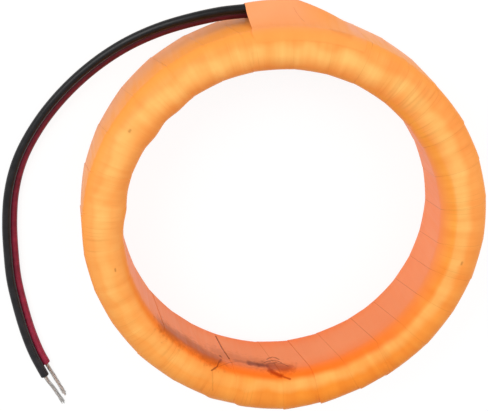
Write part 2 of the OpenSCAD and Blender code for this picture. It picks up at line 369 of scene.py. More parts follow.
# Outer wall of the ring, and cover over it: low and high colour, and heights that they change between; the
# low colours' salmon is a painted sheen on the orange film
WALL_OUT = ((0.97, 0.39, 0.17), (0.98, 0.335, 0.05), -11 * MM, 5 * MM)
COVER_OUT = ((0.95, 0.345, 0.135), FACE_WARM, 2 * MM, 14 * MM)
# Painted shade in the pleats' creases and at the feet of the laps
CREASE_AND_LAP_SHADE = (0.4, 0.1, 0.012)
# Tint of the dirt marks and of the painted shade drawn among them
GRIME_AND_SHADE_TINT = (0.3, 0.2, 0.14)
BROWN_TINT = (0.5, 0.24, 0.02)
# How much a change of tone shows in red, green and blue: paler film is yellower, darker film redder; the
# pleats' tone is painted highlight and shade
TONE_SHARES = (0.3, 1.0, 1.6)
TONE_DEPTH = 0.13
COVER_TONE_DEPTH = 0.04
# Cloudiness of the whole film: scale of its noise, and depth
CLOUD_SCALE = 55
CLOUD_DEPTH = 0.05
# Gloss of the film, and the relief of its pleats and creases
FILM_ROUGH = (0.38, 0.5)
FILM_LEVEL = 0.1
BUMP_HEIGHT = 0.12 * MM
BUMP_STRENGTH = 0.3
PLEAT_BUMP = 0.6
# Turn round the corner where the faces' pleats begin and are full, and the share of them on the walls
ON_FACE = (0.2, 0.7)
ON_WALL_SHARE = 0.1

# Painted highlight: pale band along the face, in shares of the way across it: where it begins and ends
PALE_BEGIN = (0.08, 0.4)
PALE_END = (0.5, 0.74)
# How far the band wanders, how far inwards it lies on the -Y side and how far outwards on the -X side
PALE_WANDER = 0.08
PALE_LOW_SHIFT = 0.22
PALE_LEFT_SHIFT = 0.15
# Strength of the band that is left on the -Y side, and in its faintest patches with their noise
PALE_LOW_SHARE = 0.6
PALE_LOW_FROM = 0.2
PATCH_SHARE = 0.65
PATCH_SCALE = 70
PATCH_SPAN = (0.35, 0.65)
# Painted sheen: side of the ring where the film is pale right across the face, by how much at least, and
# from where
PALE_SIDE = (math.cos(math.radians(205)), math.sin(math.radians(205)), 0)
PALE_LEAST = 0.4
PALE_SIDE_FROM = 0.3
# Distance from the middle of the face over which the inner colours go over into the outer ones
SIDES_MEET = 2 * MM

# Turn round the window's corner where its wall goes over into the rim, and the rim into the face;
# below the corner the turn counts on downwards, over a depth of wall, to where the first change begins
WALL_TO_RIM = (-0.6, 0.32)
RIM_TO_FACE = (0.25, 0.55)
WALL_DEPTH = 10 * MM
# How much later this happens on the +X side, growing towards it by a power, and on the -Y side
WALL_REACH = 0.5
WALL_REACH_POWER = 3.0
RIM_LOW_DELAY = 0.16
# Turn round the outer corner where its wall goes over into the face
OUT_TO_FACE = (0.2, 0.6)
# Where the face's film climbs over the cover: its edge and fading round the ring, and its heights
CLIMB_EDGE = (math.radians(70), math.radians(73))
CLIMB_FADE = (math.radians(78), math.radians(86))
CLIMB_HEIGHTS = (-9 * MM, 0)

# Streaks of painted highlight and shade: pitch of the pale band's wandering, of wide and fine pleats with
# depths, and of creases
WANDER_PITCH = 9 * MM
WIDE_PITCH = 4.5 * MM
WIDE_DEPTH = 0.7
FINE_PITCH = 1.6 * MM
FINE_DEPTH = 0.3
CREASE_PITCH = 2.4 * MM
# How quickly streaks change across the ring, as noise per metre, and more slowly for creases
STREAK_CHANGE = 40
CREASE_CHANGE = 10
STREAK_ROUGHNESS = 0.55
# Painted shade in creases: width, greatest darkness, and the noise that leaves them out in most places
CREASE_WIDTH = 0.03
CREASE_MOST = 0.19
SELDOM_SCALE = 90
SELDOM_SPAN = (0.46, 0.66)
# Painted shade at the feet of the laps: darkness from the walls to the faces, and share of it from the -X to
# the +X side
FOOT_TURN = (0.1, 0.5)
FOOT_DARK = (0.6, 0.2)
FOOT_SIDES = (-0.4, 0.5)
FOOT_SHARES = (0.3, 1.0)

# Marks drawn on the film: points as (angle round the ring, climb), then half-width in mm and darkness
# The climb is the height above the floor in mm; on the ring, the way outwards from the window is added
RING_MARK_ANGLE = math.radians(255)
RING_MARKS = [
    # Painted shade: dark line along a crease at a lap's edge
    ([(246.5, 6.4), (248, 15.1), (249.9, 22.2)], 0.42, 0.95),
    ([(246.3, 22), (246.4, 22.7)], 1.0, 0.9),
    ([(246.3, 25), (245.4, 27.4)], 1.0, 0.85),
    ([(246.2, 25.1), (245.2, 27.6), (244.9, 30.1), (243.3, 32.8)], 0.45, 0.9),
    ([(245.6, 29.7), (249.5, 25.4), (254.2, 22.2)], 0.4, 0.5),
    ([(252.5, 22.2), (257.6, 22.2), (261.2, 22.4), (264, 22.6)], 2.6, 0.5),
    ([(257.8, 22.4), (262, 22.7)], 3.4, 0.95),
    ([(246, 20.5), (264, 22)], 7, 0.3),
    ([(265, 18.1), (266.1, 16.8), (267.4, 16.3), (268.5, 16.9), (269.4, 18.2)], 0.5, 0.75),
    ([(263.5, 20.9), (265, 19.4), (267, 18.8), (268.8, 19.4), (270, 20.9)], 0.5, 0.8),
    ([(263.8, 22.4), (265.9, 21), (268.3, 20.7), (270.4, 21.8), (272, 23.8)], 0.5, 0.7),
    # Partly dirt and partly painted shade: broad soft bands along the window's rim towards -X and -Y
    ([(222, 26), (231.9, 24), (239.1, 25), (243.2, 26)], 7.5, 0.6),
    ([(236, 23), (244, 24)], 4, 0.45),
    # Painted shade: faint line along a lap's step
    ([(243.6, 33), (245.4, 37.4), (246.4, 39.4)], 0.35, 0.2),
    ([(191.6, 35.1), (192.2, 35.2)], 0.6, 0.5),
    ([(144.9, 39), (145.4, 39.1)], 0.6, 0.45),
    ([(345.8, 38.5), (346.3, 38.5)], 0.6, 0.45),
]
# Film gone brown beside the dirt
RING_BROWN_MARKS = [
    ([(264.3, 22.9), (265.7, 27.4), (268.7, 29.4)], 1.9, 0.95),
    ([(268.7, 29.4), (271.8, 31.3)], 0.8, 0.85),
    ([(265.6, 23.2), (269, 24.3), (271, 25)], 5.2, 0.8),
]
COVER_MARK_ANGLE = math.radians(85)
# Painted shade: dark line along a crease in the cover
COVER_MARKS = [([(86.8, 15.6), (85.6, 18.8), (84.4, 21.5)], 0.28, 0.22)]
COVER_BROWN_MARKS = [([(77, 26.4), (75, 27), (72.4, 27.6)], 2, 0.16)]
# Limits of the ring's marks: radius on the window's wall, then radius and height on the rim above it
MARKS_WALL_R = (WINDOW_R + 1.5 * MM, WINDOW_R + 2.5 * MM)
MARKS_RIM_R = (MIDDLE_R + 3 * MM, MIDDLE_R + 4 * MM)
MARKS_RIM_Z = (-3 * MM, -1 * MM)
# Share of a mark's half-width that is fully dark, and the noise that makes its edge ragged
MARK_CORE = 0.1
MARK_RAGGED = (0.6, 1.5)
RAGGED_SCALE = 700
RAGGED_SPAN = (0.25, 0.75)
# Distance in mm that is further than any point from a mark
FAR_OFF = 1000.0


class Film(Tree):
    """A tape's nodes, with where each point lies on the ring."""

    def __init__(self, name):
        super().__init__(name)
        self.x, self.y, self.z = self.separate(self.place())
        self.r = self.radius()
        self.level = self.absolute(self.z)
        corner = self.rise(self.level, TOP_Z - CORNER_R, TOP_Z)
        # How far the film has turned round its corner: 0 on the walls, 1 on the faces
        self.facing = self.times(self.math("ARCSINE", corner), 2 / math.pi)
        self.on_face = self.map(self.facing, *ON_FACE, ON_WALL_SHARE, 1.0, smooth=True)
        self.towards_x = self.math("DIVIDE", self.x, self.r)
        self.towards_low = self.math("MULTIPLY", self.math("DIVIDE", self.y, self.r), -1.0, clamp=True)

    def streaks(self, pitch, detail, change=STREAK_CHANGE):
        """Noise that changes quickly round the ring and slowly across it, as the film's pleats do."""
        flat = self.combine(self.x, self.y)
        round_ring = self.scaled(self.vector("NORMALIZE", flat), RING_R / pitch)
        across = self.times(self.plus(self.vector("LENGTH", flat), self.z), change)
        place = self.vector("ADD", round_ring, self.combine(0.0, 0.0, across))
        return self.noise(place, 1.0, detail, STREAK_ROUGHNESS)


def distance_to_line(tree, point, corners):
    """Distance of each point from a line with corners."""
    nearest = FAR_OFF
    for a, b in zip(corners, corners[1:]):
        run = b - a
        along = tree.vector("DOT_PRODUCT", tree.vector("SUBTRACT", point, a), run / run.length_squared)
        along = tree.most(tree.least(along, 1.0), 0.0)
        gap = tree.vector("DISTANCE", point, tree.vector("ADD", tree.scaled(tuple(run), along), a))
        nearest = tree.least(nearest, gap)
    return nearest


def marks_mask(film, strokes, middle_angle, middle_r, climb_out):
    """How dark the marks make each point of the film, from 0 to 1; on the ring only at its window."""
    cos_mid, sin_mid = math.cos(middle_angle), math.sin(middle_angle)
    ahead = film.plus(film.times(film.x, cos_mid), film.times(film.y, sin_mid))
    aside = film.minus(film.times(film.y, cos_mid), film.times(film.x, sin_mid))
    arc = film.times(film.math("ARCTAN2", aside, ahead), middle_r / MM)
    climb = film.minus(film.z, FLOOR_Z)
    limits = 1.0
    if climb_out:
        climb = film.plus(climb, film.minus(film.r, WINDOW_R))
        on_rim = film.times(film.fall(film.r, *MARKS_RIM_R), film.rise(film.z, *MARKS_RIM_Z))
        limits = film.most(film.fall(film.r, *MARKS_WALL_R), on_rim)
    point = film.combine(arc, film.times(climb, 1 / MM))
    grain = film.noise(film.place(), RAGGED_SCALE, detail=3.0, roughness=0.6)
    ragged = film.map(grain, *RAGGED_SPAN, *MARK_RAGGED)
    mask = 0.0
    for route, half_width, dark in strokes:
        corners = [Vector(((math.radians(az) - middle_angle) * middle_r / MM, up, 0)) for az, up in route]
        gap = film.times(distance_to_line(film, point, corners), ragged)
        mask = film.most(mask, film.map(gap, half_width * MARK_CORE, half_width, dark, 0.0, smooth=True))
    return film.times(mask, limits)


def face_colour(film):
    """Warm film, with a painted highlight as a paler and patchy band along the crown."""
    across = film.plus(
        film.rise(film.r, WINDOW_R, RING_R),
        film.spread(film.streaks(WANDER_PITCH, detail=2.0), -PALE_WANDER, PALE_WANDER),
        film.times(film.towards_low, PALE_LOW_SHIFT),
        film.map(film.towards_x, -1.0, 0.0, -PALE_LEFT_SHIFT, 0.0),
    )
    pale = film.times(film.rise(across, *PALE_BEGIN), film.fall(across, *PALE_END, smooth=True))
    patchy = film.map(film.noise(film.place(), PATCH_SCALE), *PATCH_SPAN, PATCH_SHARE, 1.0)
    pale = film.times(pale, patchy, film.map(film.towards_low, PALE_LOW_FROM, 1.0, 1.0, PALE_LOW_SHARE))
    # Painted sheen: pale right across the face on one side of the ring
    outwards = film.vector("NORMALIZE", film.combine(film.x, film.y))
    towards_pale = film.vector("DOT_PRODUCT", outwards, PALE_SIDE)
    pale = film.most(pale, film.map(towards_pale, PALE_SIDE_FROM, 1.0, 0.0, PALE_LEAST))
    return film.mix(pale, film.mix(film.towards_low, FACE_WARM, FACE_WARM_LOW), FACE_PALE)


def inner_colour(film, face):
    """Towards the window: the wall, the rim over it and then the face."""
    corner_z = TOP_Z - CORNER_R
    below = film.map(film.level, corner_z - WALL_DEPTH, corner_z, WALL_TO_RIM[0], 0.0)
    reach = film.math("POWER", film.most(film.towards_x, 0.0), WALL_REACH_POWER)
    later = film.plus(film.times(reach, WALL_REACH), film.times(film.towards_low, RIM_LOW_DELAY))
    turned = film.minus(film.plus(film.facing, below), later)
    wall = film.mix(film.towards_low, WALL_IN, WALL_IN_LOW)
    rim = film.mix(film.towards_low, RIM_IN, RIM_IN_LOW)
    inner = film.mix(film.rise(turned, *WALL_TO_RIM, smooth=True), wall, rim)
    return film.mix(film.rise(turned, *RIM_TO_FACE, smooth=True), inner, face)


def outer_colour(film, face, wall_out):
    """Away from the window: the wall and the face, whose film also climbs over the cover."""
    colour_low, colour_high, low, high = wall_out
    wall = film.mix(film.rise(film.z, low, high), colour_low, colour_high)
    around = film.math("ARCTAN2", film.y, film.x)
    climbing = film.times(
        film.rise(around, *CLIMB_EDGE),
        film.fall(around, *CLIMB_FADE),
        film.rise(film.z, *CLIMB_HEIGHTS, smooth=True),
    )
    return film.mix(film.most(film.rise(film.facing, *OUT_TO_FACE), climbing), wall, face)


def painted_creases(film):
    """Painted shade: thin dark lines in the creases along the pleats, in a few places on the faces."""
    seldom = film.map(film.noise(film.place(), SELDOM_SCALE, detail=1.0), *SELDOM_SPAN, 0.0, CREASE_MOST)
    lines = film.streaks(CREASE_PITCH, detail=0.0, change=CREASE_CHANGE)
    crease = film.fall(film.absolute(film.minus(lines, 0.5)), 0.0, CREASE_WIDTH)
    return film.times(crease, seldom, film.on_face)


def lap_feet(film):
    """Painted shade at the foot of each lap, clearest on the walls and towards +X."""
    dark = film.map(film.facing, *FOOT_TURN, *FOOT_DARK)
    share = film.map(film.towards_x, *FOOT_SIDES, *FOOT_SHARES)
    return film.times(film.attribute("lap_foot"), film.times(dark, share))


def tape_material(name, marks, tone_depth, wall_out):
    """Glossy film over itself: a painted highlight pale on the crown, deep at the window's rim, and a
    painted sheen salmon on the walls.
    """
    film = Film(name)
    face = face_colour(film)
    inside = film.fall(film.r, MIDDLE_R - SIDES_MEET, MIDDLE_R + SIDES_MEET, smooth=True)
    base = film.mix(inside, outer_colour(film, face, wall_out), inner_colour(film, face))
    fine = film.streaks(FINE_PITCH, detail=1.5)
    wide = film.streaks(WIDE_PITCH, detail=1.0)
    pleats = film.plus(
        film.spread(fine, -FINE_DEPTH, FINE_DEPTH), film.spread(wide, -WIDE_DEPTH, WIDE_DEPTH)
    )
    pleats = film.times(pleats, film.on_face)
    cloud = film.spread(film.noise(film.place(), CLOUD_SCALE), -CLOUD_DEPTH, CLOUD_DEPTH)
    # Painted highlight and shade on the pleats, with the film's own cloudiness
    tone = film.plus(film.times(pleats, tone_depth), cloud)
    tint = [film.plus(film.times(tone, share), 1.0) for share in TONE_SHARES]
    base = film.mix(1.0, base, film.combine(*tint), "MULTIPLY")
    creases = painted_creases(film)
    base = film.mix(film.most(lap_feet(film), creases), base, CREASE_AND_LAP_SHADE)
    dirt_and_shade, brown, *place = marks
    base = film.mix(marks_mask(film, brown, *place), base, BROWN_TINT, "MULTIPLY")
    # Dirt marks, and painted shade drawn as marks among them
    base = film.mix(marks_mask(film, dirt_and_shade, *place), base, GRIME_AND_SHADE_TINT, "MULTIPLY")
    film.bump(film.minus(film.times(pleats, PLEAT_BUMP), creases), BUMP_STRENGTH, BUMP_HEIGHT)
    return film.finish(colour=base, rough=film.spread(fine, *FILM_ROUGH), level=FILM_LEVEL)


def insulation_material(name, colour, rough):
    """Extruded insulation: handling marks and dust, with painted shade: darker towards +Y, up the run beside
    the ring, and lighter towards the free end.
    """
    tree = Tree(name)
    dust = tree.noise(tree.place(), 420, 3.0)
    # Painted shade: darker up the run towards +Y, lighter towards the free end
    painted_run_shade = tree.map(tree.separate(tree.place())[1], -40 * MM, 60 * MM, 1.4, 0.4)
    base = tree.shaded(colour, tree.times(painted_run_shade, tree.map(dust, 0.35, 0.75, 0.8, 1.35)))
    tree.bump(tree.noise(tree.place(), 1500, 2.0), strength=0.12, distance=0.05 * MM)
    return tree.finish(colour=base, rough=tree.spread(dust, rough - 0.06, rough + 0.08), level=0.3)


def metal_material(name, colour, rough, scale):
    """Metal with fine uneven tarnish."""
    tree = Tree(name)
    tarnish = tree.noise(tree.place(), scale, 3.0)
    base = tree.shaded(colour, tree.spread(tarnish, 0.78, 1.1))
    tree.bump(tarnish, strength=0.2, distance=0.03 * MM)
    return tree.finish(colour=base, rough=tree.spread(tarnish, rough, rough + 0.15), metal=1.0)


def core_material():
    """Wound steel strip: fine rings on the faces, plain grey on the walls."""
    strip_t = 0.3 * MM
    tree = Tree("wound_steel_strip")
    rings = tree.math("SINE", tree.times(tree.radius(), 2 * math.pi / strip_t))
    base = tree.shaded((0.35, 0.36, 0.38), tree.map(rings, -1.0, 1.0, 0.75, 1.1))
    tree.bump(rings, strength=0.3, distance=0.05 * MM)
    rough = tree.spread(tree.noise(tree.place(), 300), 0.35, 0.5)
    return tree.finish(colour=base, rough=rough, metal=1.0)


def paper_material():
    """Insulating wrap of fibrous paper."""
    tree = Tree("insulating_paper")
    fibre = tree.noise(tree.place(), 700, 4.0, 0.7)
    base = tree.ramp(fibre, [(0.3, (0.74, 0.62, 0.42)), (0.7, (0.86, 0.77, 0.58))])
    tree.bump(fibre, strength=0.3, distance=0.06 * MM)
    return tree.finish(colour=base, rough=0.8)


# Meshes

SHARP_ANGLE = math.radians(50)


def add_mesh(name, vertices, faces, material, slot, *nodes):
    """A piece of the object: rides on the one body and stands for its CAD nodes; slot is not used."""
    mesh = bpy.data.meshes.new(name)
    mesh.from_pydata([tuple(v) for v in vertices], [], [tuple(f) for f in faces])
    mesh.shade_smooth()
    mesh.set_sharp_from_angle(angle=SHARP_ANGLE)
    mesh.materials.append(material)
    piece = bpy.data.objects.new(name, mesh)
    bpy.context.scene.collection.objects.link(piece)
    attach(piece, "root")
    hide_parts(*nodes)
    return piece


def smooth_step(value, low, high):
    share = np.clip((np.asarray(value) - low) / (high - low), 0, 1)
    return share * share * (3 - 2 * share)


def growth(angle, plan):
    """How far the tape stands beyond the round ring at an angle round it."""
    even, swellings = plan
    lobes = [
        size * np.maximum(np.cos(angle - math.radians(at)), 0) ** narrow for size, at, narrow in swellings
    ]
    return (even + sum(lobes)) * MM


def section_stretch(kind, count, start, end, corner=None):
    """Points on one stretch of the section: radius, height, normal's radial and upward part."""
    share = np.arange(count) / count
    if corner is None:
        points = np.outer(1 - share, start) + np.outer(share, end)
        normal = {"in": (-1, 0), "top": (0, 1), "out": (1, 0), "low": (0, -1)}[kind]
        return np.hstack([points, np.tile(normal, (count, 1))])
    angle = np.radians(start + (end - start) * share)
    normal = np.column_stack([np.cos(angle), np.sin(angle)])
    return np.hstack([np.array(corner[:2]) + corner[2] * normal, normal])


def ring_section(inset, corner_r, wall, face, bend):
    """Outline of the ring's section, up the window's wall, over the top, down outside and back below."""
    r_in, r_out = WINDOW_R + inset, RING_R - inset
    low, top = FLOOR_Z + inset, TOP_Z - inset
    corner_in, corner_out = r_in + corner_r, r_out - corner_r
    bend_low, bend_top = low + corner_r, top - corner_r
    return np.vstack([
        section_stretch("in", wall, (r_in, bend_low), (r_in, bend_top)),
        section_stretch("bend", bend, 180, 90, (corner_in, bend_top, corner_r)),
        section_stretch("top", face, (corner_in, top), (corner_out, top)),
        section_stretch("bend", bend, 90, 0, (corner_out, bend_top, corner_r)),
        section_stretch("out", wall, (r_out, bend_top), (r_out, bend_low)),
        section_stretch("bend", bend, 0, -90, (corner_out, bend_low, corner_r)),
        section_stretch("low", face, (corner_out, low), (corner_in, low)),
        section_stretch("bend", bend, 270, 180, (corner_in, bend_low, corner_r)),
    ])


def round_noise(rng, knots, turn):
    """Smooth random values round the ring, from -1 to 1, at each angle given as a share of the turn."""
    values = rng.uniform(-1, 1, knots)
    place = (np.asarray(turn) % 1.0) * knots
    index = np.floor(place).astype(int)
    ease = smooth_step(place - index, 0, 1)
    return values[index % knots] * (1 - ease) + values[(index + 1) % knots] * ease


def per_turn(values, chosen):
    """Values of all turns, with those that were chosen put in."""
    for turn, value in chosen.items():
        values[turn] = value
    return values


# Rows of points across each turn of tape, closer together at its two edges
TURN_SHARES = np.concatenate([
    [0.0, 0.012, 0.035, 0.07], np.linspace(0.12, 0.92, 15), [0.955, 0.975, 0.988],
])
# Radial part of the normal beyond which a stretch of the section counts as a wall
WALL_NORMAL = 0.7
# Stations round the ring on the plain inside of the tape
INSIDE_STEPS = 120


def section_lean(section):
    """How far along the helix each point of the section lies, from 0 to 1."""
    closed = np.vstack([section, section[:1]])
    gaps = np.hypot(*np.diff(closed[:, :2], axis=0).T)
    out = section[:, 2]
    outer_weight = np.where(out > WALL_NORMAL, LEAN_WALL_OUT, LEAN_FACE)
    weight = np.where(out < -WALL_NORMAL, LEAN_WALL_IN, outer_weight)
    lean = np.concatenate([[0], np.cumsum(gaps * weight)])
    return lean[:-1] / lean[-1]


def grid_faces(rows, columns, shift):
    """Faces of a grid closed both ways, whose last column meets the first one a shift of rows further."""
    i = np.arange(rows)[:, None]
    j = np.arange(columns)[None, :]

    def index(row, column):
        wrapped = column == columns
        return ((row + np.where(wrapped, shift, 0)) % rows) * columns + np.where(wrapped, 0, column)

    corners = [index(i, j), index(i + 1, j), index(i + 1, j + 1), index(i, j + 1)]
    return np.stack(corners, axis=-1).reshape(-1, 4)


def lap_edge(along, drift_in, drift_out):
    """Angle of the lap edge at a place along the helix, counted in turns of tape."""
    whole = np.floor(along).astype(int)
    share = along - whole
    over = smooth_step(share, *RIM_SHARE)
    wander = drift_in[whole % TURNS] * (1 - over) + drift_out[whole % TURNS] * over
    back = smooth_step(share, LAST_SHARE, 1)
    wander = wander * (1 - back) + drift_in[(whole + 1) % TURNS] * back
    return along * TURN_ANGLE + wander


def film_unevenness(rng, section, angle, outside):
    """How far pleats, swellings and the crown lift the film."""
    radius, height, out, up = section.T
    part = angle / (2 * math.pi)
    wind = PLEAT_WIND * np.sin(radius * WIND_OUT + height * WIND_UP)
    pleats = 1 - 2 * np.abs(round_noise(rng, WIDE_PLEATS, part + wind))
    pleats = (1 - FINE_SHARE) * pleats + FINE_SHARE * round_noise(rng, FINE_PLEATS, part + 2 * wind)
    lift = PLEAT * smooth_step(np.abs(up), *PLEAT_SLOPE) * pleats
    lift = lift + BULGE * (round_noise(rng, BULGES_OUT, part) * out + round_noise(rng, BULGES_UP, part) * up)
    return lift + CROWN * np.clip(up, 0, 1) * (1 - outside ** 2)


def wound_skin(section):
    """Points of the tape's outer skin, one turn after another."""
    rng = np.random.default_rng(SEED)
    radius, height, out, up = section.T
    drift_in = np.radians(per_turn(rng.uniform(-DRIFT_MOST, DRIFT_MOST, TURNS), DRIFT_IN))
    drift_out = np.radians(per_turn(rng.uniform(-DRIFT_MOST, DRIFT_MOST, TURNS), DRIFT_OUT))
    step_in = per_turn(LAP_STEP * rng.uniform(*STEP_RANGE_IN, TURNS), STEPS_IN)
    step_out = per_turn(LAP_STEP * rng.uniform(*STEP_RANGE_OUT, TURNS), STEPS_OUT)
    rise = TURN_RISE * rng.uniform(-1, 1, TURNS)

    turn = np.arange(TURNS)[:, None, None]
    share = TURN_SHARES[None, :, None]
    along = turn + section_lean(section)[None, None, :]
    begin = lap_edge(along, drift_in, drift_out)
    angle = begin + (lap_edge(along + 1, drift_in, drift_out) - begin) * share
    back = smooth_step(along - turn, LAST_SHARE, 1)

    def blended(values):
        """Each turn's own value, which goes over into the next turn's at its end."""
        return values[turn] * (1 - back) + values[(turn + 1) % TURNS] * back

    outside = np.clip((radius - MIDDLE_R) / HALF_W, -1, 1)
    step = blended(step_in) * (1 - outside) / 2 + blended(step_out) * (1 + outside) / 2
    lap = step * (0.5 - share) * (FACE_STEP_SHARE + (1 - FACE_STEP_SHARE) * np.abs(out))
    bow = 4 * share * (1 - share) - 0.5
    flatten = np.where(out > 0, -RING_R, WINDOW_R) * (1 - math.cos(TURN_ANGLE / 2)) * np.abs(out)
    lift = DRAWN_FLAT * flatten * bow + lap + blended(rise) * np.abs(out)
    lift = lift + film_unevenness(rng, section, angle, outside)
    turned = np.degrees(angle) % 360
    plain = smooth_step(turned, *PLAIN_BEGIN) * (1 - smooth_step(turned, *PLAIN_END))
    plain = plain * smooth_step(outside, *PLAIN_SIDE)
    lift = lift * (1 - plain) - PLAIN_SINK * plain
    grow_out = growth(angle, OUTER_GROWTH) * np.clip(outside, 0, 1)
    grow_in = growth(angle, INNER_GROWTH) * np.clip(-outside, 0, 1)
    r = radius + lift * out + grow_out - grow_in
    z = np.maximum(height + lift * up, FLOOR_Z)
    return np.stack([r * np.cos(angle), r * np.sin(angle), z], axis=-1).reshape(-1, 3)


def plain_inside(section):
    """Points of the tape's inner skin, against the winding."""
    spin = np.arange(INSIDE_STEPS)[:, None] * 2 * math.pi / INSIDE_STEPS
    radius, height = section[:, 0], section[:, 1]
    points = np.stack([radius * np.cos(spin), radius * np.sin(spin), height + 0 * spin], axis=-1)
    return points.reshape(-1, 3)


def tape_wrap():
    """The lapped tape as a closed shell: helical turns outside, a plain wall against the winding inside."""
    skin_section = ring_section(0, CORNER_R, wall=30, face=4, bend=16)
    skin = wound_skin(skin_section)
    stations, count = len(TURN_SHARES), len(skin_section)
    outer = grid_faces(TURNS * stations, count, stations)
    inside_section = ring_section(TAPE_BUILD, TAPE_INSIDE_CORNER_R, wall=6, face=2, bend=5)
    inside = plain_inside(inside_section)
    inner = grid_faces(INSIDE_STEPS, len(inside_section), 0)[:, ::-1] + len(skin)
    marks = (RING_MARKS, RING_BROWN_MARKS, RING_MARK_ANGLE, WINDOW_R, True)
    piece = add_mesh(
        "tape_wrap", np.vstack([skin, inside]), np.vstack([outer, inner]),
        tape_material("orange_film", marks, TONE_DEPTH, WALL_OUT), "orange_tape", "outer_tape",
    )
    foot = np.zeros(len(skin) + len(inside), np.float32)
    foot[:len(skin)].reshape(TURNS, stations, count)[:, -1, :] = 1
    piece.data.attributes.new("lap_foot", "FLOAT", "POINT").data.foreach_set("value", foot)
    return piece


def tangent_over(a, r_a, b, r_b, side):
    """Angle of the normal of the line that runs tight over two circles."""
    run = b - a
    return math.atan2(run.y, run.x) + side * math.acos((r_a - r_b) / run.length)


def arc_points(middle, r, start, end):
    return [middle + r * Vector((math.cos(a), math.sin(a))) for a in np.linspace(start, end, ARC_POINTS)]


def cover_line(tent, grow):
    """Line of the cover across the ring at one angle, evenly spaced: radius and height."""
    corner_r, bump_r = CORNER_R + grow, LEAD_D / 2 + grow
    top = Vector((RING_R - CORNER_R, TOP_Z - CORNER_R))
    low = Vector((RING_R - CORNER_R, FLOOR_Z + CORNER_R))
    sunk = RING_R - LEAD_D / 2
    bump = Vector((sunk + (PAIR_R + PAIR_OFFSET - sunk) * tent, FLOOR_Z + EXIT_HEIGHT + PAIR_OFFSET))
    upper = tangent_over(top, corner_r, bump, bump_r, 1)
    lower = tangent_over(low, corner_r, bump, bump_r, -1)
    wrap = min(COVER_WRAP, max(upper, 0)) * tent
    over_top = arc_points(top, corner_r, COVER_HIGH_ANGLE, upper - wrap)
    over_lead = arc_points(bump, bump_r, upper + wrap, lower)
    over_low = arc_points(low, corner_r, lower, COVER_LOW_ANGLE)
    pull = COVER_PULL * (over_lead[0] - over_top[-1]).length
    leaving = over_top[-1] + pull * Vector((math.sin(upper - wrap), -math.cos(upper - wrap)))
    arriving = over_lead[0] - pull * Vector((math.sin(upper + wrap), -math.cos(upper + wrap)))
    drawn_in = interpolate_bezier(over_top[-1], leaving, arriving, over_lead[0], DRAWN_IN_POINTS)
    points = over_top + drawn_in[1:-1] + over_lead + over_low
    flat = np.array([tuple(p) for p in points])
    reach = np.concatenate([[0], np.cumsum(np.hypot(*np.diff(flat, axis=0).T))])
    even = np.linspace(0, reach[-1], COVER_POINTS)
    return np.column_stack([np.interp(even, reach, flat[:, k]) for k in (0, 1)])


def cover_sheets():
    """Points of the cover's outer and inner side, station by station from its sunk end to its mouth."""
    rng = np.random.default_rng(SEED + 1)
    wave = round_noise(rng, MOUTH_KNOTS, np.linspace(0, MOUTH_SPAN, COVER_POINTS))
    thin_top = smooth_step(np.arange(COVER_POINTS) / COVER_POINTS, 0, THIN_TOP)
    sheets = {"outer": [], "inner": []}
    for s in np.linspace(0, 1, COVER_STATIONS):
        az = COVER_END_AZ + (EXIT_AZ - COVER_END_AZ) * s
        tent = min((az - COVER_END_AZ) / (COVER_FULL_AZ - COVER_END_AZ), 1) ** COVER_RISE_POWER
        under = cover_line(tent, COVER_GAP)
        over = cover_line(tent, COVER_GAP + COVER_T)
        thick = (COVER_LEAST + (1 - COVER_LEAST) * thin_top * smooth_step(s, 0, THIN_END))[:, None]
        turn = az + MOUTH_WAVE * wave * s ** MOUTH_FADE_POWER
        for name, line in (("inner", under), ("outer", under + (over - under) * thick)):
            on_ring = np.clip((RING_R + COVER_EASE - line[:, 0]) / COVER_EASE, 0, 1)
            r = line[:, 0] + growth(az, OUTER_GROWTH) * on_ring
            sheets[name].append(np.column_stack([r * np.cos(turn), r * np.sin(turn), line[:, 1]]))
    return np.vstack(sheets["outer"] + sheets["inner"])


def lead_cover():
    """The finishing strip: one closed sheet with an uneven mouth, sinking onto the ring at its other end."""

    def at(i, k, inner):
        return (i + inner * COVER_STATIONS) * COVER_POINTS + k

    last, rim = COVER_STATIONS - 1, COVER_POINTS - 1
    faces = []
    for i in range(last):
        for k in range(rim):
            faces.append((at(i, k, 0), at(i, k + 1, 0), at(i + 1, k + 1, 0), at(i + 1, k, 0)))
            faces.append((at(i, k, 1), at(i + 1, k, 1), at(i + 1, k + 1, 1), at(i, k + 1, 1)))
        faces.append((at(i, 0, 0), at(i + 1, 0, 0), at(i + 1, 0, 1), at(i, 0, 1)))
        faces.append((at(i, rim, 0), at(i, rim, 1), at(i + 1, rim, 1), at(i + 1, rim, 0)))
    for k in range(rim):
        faces.append((at(0, k, 0), at(0, k, 1), at(0, k + 1, 1), at(0, k + 1, 0)))
        faces.append((at(last, k, 0), at(last, k + 1, 0), at(last, k + 1, 1), at(last, k, 1)))
    marks = (COVER_MARKS, COVER_BROWN_MARKS, COVER_MARK_ANGLE, PAIR_R, False)
    material = tape_material("orange_film_smooth", marks, COVER_TONE_DEPTH, COVER_OUT)
    return add_mesh("cover_flap", cover_sheets(), faces, material, "orange_tape", "lead_cover")


# Leads and their bare strands

def smooth_route(points, steps):
    """Smooth curve through the points, with the given steps between each pair."""
    p = np.array(points, float)
    last = len(p) - 1
    curve = []
    for i in range(last):
        a, b, c, d = p[max(i - 1, 0)], p[i], p[i + 1], p[min(i + 2, last)]
        for t in np.arange(steps) / steps:
            bend = (2 * a - 5 * b + 4 * c - d) * t ** 2 + (3 * b - a - 3 * c + d) * t ** 3
            curve.append(0.5 * (2 * b + (c - a) * t + bend))
    return np.array(curve + [p[last]])


